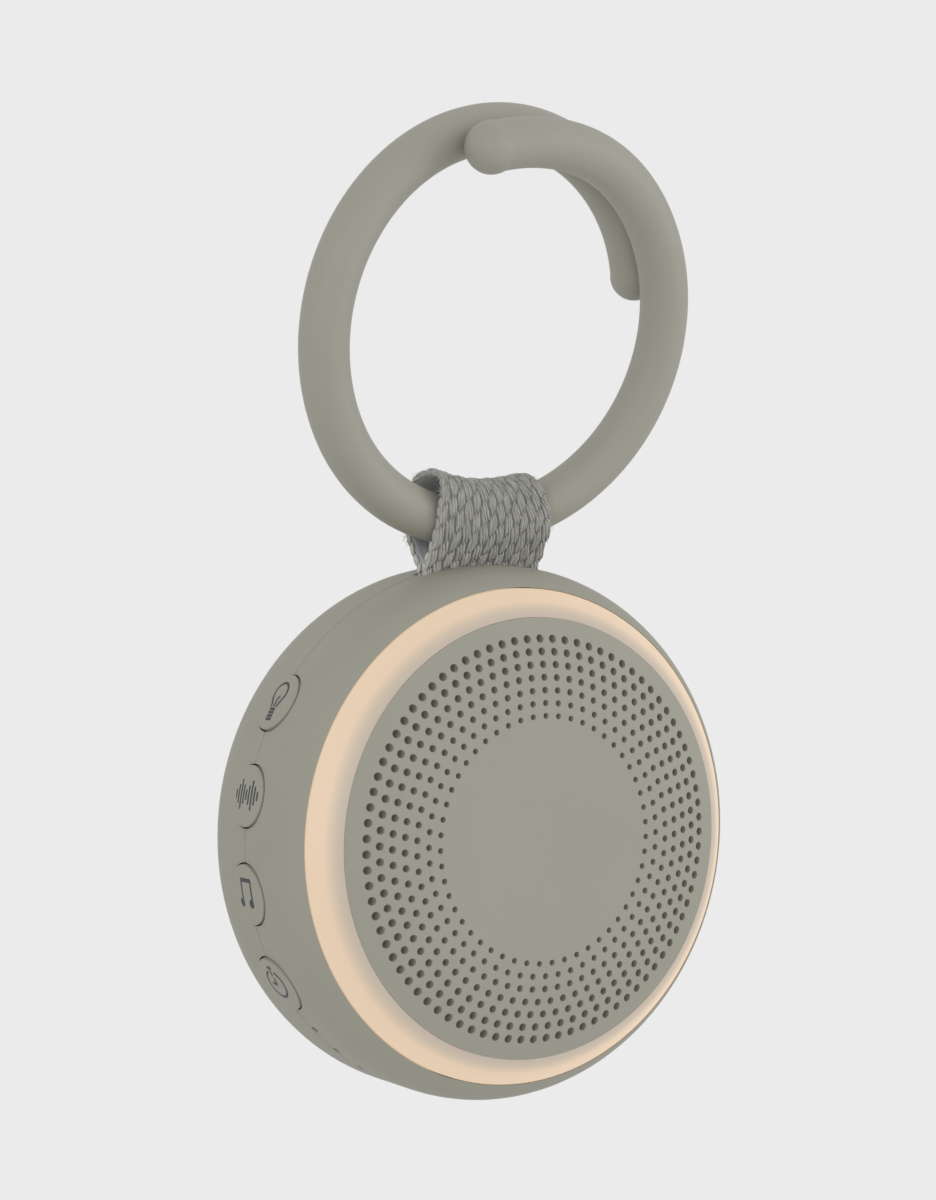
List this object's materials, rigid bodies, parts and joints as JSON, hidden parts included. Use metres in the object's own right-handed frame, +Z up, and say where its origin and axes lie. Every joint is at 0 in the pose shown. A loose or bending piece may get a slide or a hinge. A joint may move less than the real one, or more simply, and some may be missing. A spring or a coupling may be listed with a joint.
{
  "type": "musical night light",
  "caption": "Round portable sound machine and night light with a domed perforated speaker grille, a glowing ring, edge push buttons and a split hanging ring on a webbing loop.",
  "frame": {"origin": "hang point: the inner crown of the hanging ring, midway between its two overlapping strands", "axes": "+Z up, -Y is the front with the grille, +X to the right seen from the front"},
  "size_m": [0.0916, 0.0471, 0.1686],
  "materials": {
    "shell_plastic": "fine moulded texture, matte",
    "ring_plastic": "smooth moulded, satin",
    "strap_webbing": "knitted webbing",
    "pin_steel": "ground",
    "light_plastic": "translucent, frosted",
    "grille_plastic": "fine moulded texture, matte",
    "speaker_cloth": "black acoustic cloth",
    "frame_plastic": "moulded, black",
    "board_laminate": "solder mask",
    "lamp_resin": "moulded resin",
    "foam": "closed-cell foam",
    "speaker_steel": "black paint",
    "ferrite": "sintered",
    "surround_rubber": "moulded rubber",
    "cone_paper": "pressed paper",
    "coil_copper": "enamelled wire",
    "chip_epoxy": "moulded epoxy",
    "socket_steel": "drawn shell",
    "indicator_plastic": "smoked, translucent",
    "screw_steel": "zinc plated",
    "battery_pouch": "laminated pouch",
    "button_plastic": "fine moulded texture, matte",
    "plunger_plastic": "moulded"
  },
  "bodies": {
    "ring": {"hanging_ring": "ring_plastic"},
    "strap": {"strap_loop": "strap_webbing"},
    "housing": {"front_housing": "shell_plastic", "rear_housing": "shell_plastic", "strap_tail": "strap_webbing", "strap_anchor_pin": "pin_steel", "light_ring": "light_plastic", "grille_cover": "grille_plastic", "grille_cloth": "speaker_cloth", "inner_frame": "frame_plastic", "lamp_board": "board_laminate", "main_board": "board_laminate", "lamps": "lamp_resin", "speaker_gasket": "foam", "battery_tape": "foam", "speaker_basket": "speaker_steel", "speaker_yoke": "speaker_steel", "speaker_magnet": "ferrite", "speaker_surround": "surround_rubber", "board_chips": "chip_epoxy", "switch_bodies": "chip_epoxy", "charging_socket": "socket_steel", "indicator_pipes": "indicator_plastic", "case_screws": "screw_steel", "battery_cell": "battery_pouch"},
    "cone": {"speaker_cone": "cone_paper", "dust_cap": "cone_paper", "voice_coil": "coil_copper"},
    "light_key": {"light_button": "button_plastic", "light_plunger": "plunger_plastic"},
    "sound_key": {"sound_button": "button_plastic", "sound_plunger": "plunger_plastic"},
    "music_key": {"music_button": "button_plastic", "music_plunger": "plunger_plastic"},
    "timer_key": {"timer_button": "button_plastic", "timer_plunger": "plunger_plastic"}
  },
  "joints": [
    {"name": "strap_swing", "type": "hinge", "parent": "ring", "child": "strap", "pos_m": [0.00245, 0.01509, -0.06072], "axis": [1, 0, 0], "range_deg": [-12, 45]},
    {"name": "strap_flex", "type": "hinge", "parent": "strap", "child": "housing", "pos_m": [0.00245, 0.01509, -0.06722], "axis": [1, 0, 0], "range_deg": [-25, 25]},
    {"name": "cone_travel", "type": "slide", "parent": "housing", "child": "cone", "axis": [0, 1, 0], "range_m": [-0.0005, 0.0005], "stiffness_N_per_m": 900},
    {"name": "light_press", "type": "slide", "parent": "housing", "child": "light_key", "axis": [0.8625, 0, -0.506], "range_m": [0, 0.0006], "stiffness_N_per_m": 1500, "springref_m": -0.0003},
    {"name": "sound_press", "type": "slide", "parent": "housing", "child": "sound_key", "axis": [0.9848, 0, -0.1736], "range_m": [0, 0.0006], "stiffness_N_per_m": 1500, "springref_m": -0.0003},
    {"name": "music_press", "type": "slide", "parent": "housing", "child": "music_key", "axis": [0.9836, 0, 0.1805], "range_m": [0, 0.0006], "stiffness_N_per_m": 1500, "springref_m": -0.0003},
    {"name": "timer_press", "type": "slide", "parent": "housing", "child": "timer_key", "axis": [0.859, 0, 0.512], "range_m": [0, 0.0006], "stiffness_N_per_m": 1500, "springref_m": -0.0003}
  ]
}
